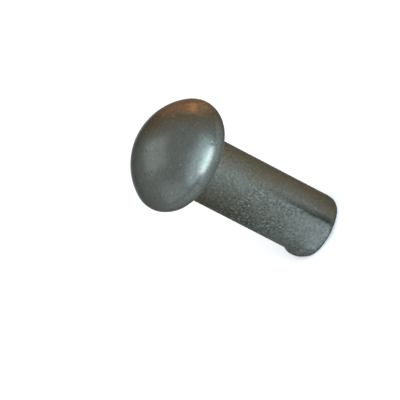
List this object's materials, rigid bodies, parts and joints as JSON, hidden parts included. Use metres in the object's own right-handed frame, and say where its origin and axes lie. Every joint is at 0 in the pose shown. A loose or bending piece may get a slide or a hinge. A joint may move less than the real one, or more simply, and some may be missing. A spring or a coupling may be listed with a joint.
{
  "type": "solid rivet",
  "caption": "Round-head solid rivet in dark oxidised steel: a smooth dome with a bulging rim and a flat seat, on a plain round shank with a cropped end.",
  "frame": {"origin": "on the rivet's axis, in the plane of the flat seat under the head", "axes": "+Z along the axis of the shank, from the cropped end towards the head; the rivet stands on its cropped end, and X and Y are free because it is round"},
  "size_m": [0.018, 0.018, 0.0343],
  "materials": {
    "steel": "dark oxide, satin"
  },
  "bodies": {
    "root": {"rivet": "steel"}
  },
  "joints": []
}
